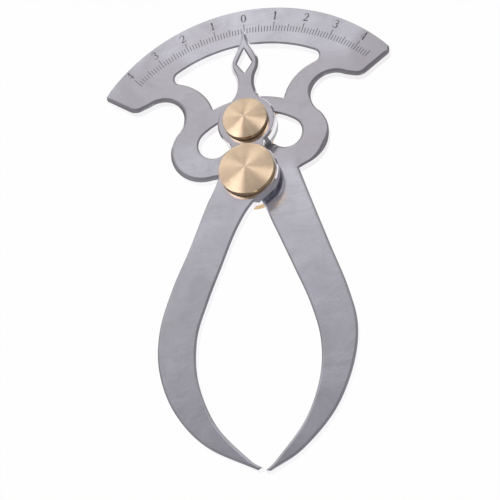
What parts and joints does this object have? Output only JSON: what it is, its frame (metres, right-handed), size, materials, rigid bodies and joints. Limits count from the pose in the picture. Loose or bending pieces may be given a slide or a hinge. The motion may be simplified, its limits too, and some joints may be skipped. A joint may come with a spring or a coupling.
{
  "type": "inside caliper",
  "caption": "Inside caliper with bowed legs on a pivot, a pointer that swings over an arc-shaped scale, and a lock knob in an arc-shaped slot.",
  "frame": {"origin": "on the pivot axis, at the flat back face of the pivot nut", "axes": "+Z out of the face of the scale, along the pivot axis; +Y from the pivot to the zero of the scale; +X to the right as the scale is read"},
  "size_m": [0.0548, 0.0934, 0.0097],
  "materials": {
    "steel_plate": "polished",
    "turned_brass": "fine turned",
    "steel_hardware": "satin"
  },
  "bodies": {
    "rear_arm": {"rear_arm": "steel_plate", "pivot_stud": "steel_hardware", "pivot_nut": "turned_brass", "pivot_back_washer": "steel_hardware", "pivot_spacer": "steel_hardware"},
    "front_arm": {"front_arm": "steel_plate", "clamp_stud": "steel_hardware", "clamp_nut": "turned_brass", "clamp_back_washer": "steel_hardware", "clamp_collar": "steel_hardware", "clamp_spacer": "steel_hardware"},
    "pivot_knob": {"pivot_knob": "turned_brass", "pivot_washer": "steel_hardware"},
    "clamp_knob": {"clamp_knob": "turned_brass", "clamp_washer": "steel_hardware"}
  },
  "joints": [
    {"name": "leg_pivot", "type": "hinge", "parent": "rear_arm", "child": "front_arm", "pos_m": [0, 0, 0.0067], "axis": [0, 0, 1], "range_deg": [-42, 44]},
    {"name": "pivot_knob_turn", "type": "hinge", "parent": "rear_arm", "child": "pivot_knob", "pos_m": [0, 0, 0.0084], "axis": [0, 0, 1], "range_deg": [-10, 90]},
    {"name": "clamp_knob_turn", "type": "hinge", "parent": "front_arm", "child": "clamp_knob", "pos_m": [0.00018, 0.0105, 0.0086], "axis": [0, 0, 1], "range_deg": [0, 180]}
  ]
}
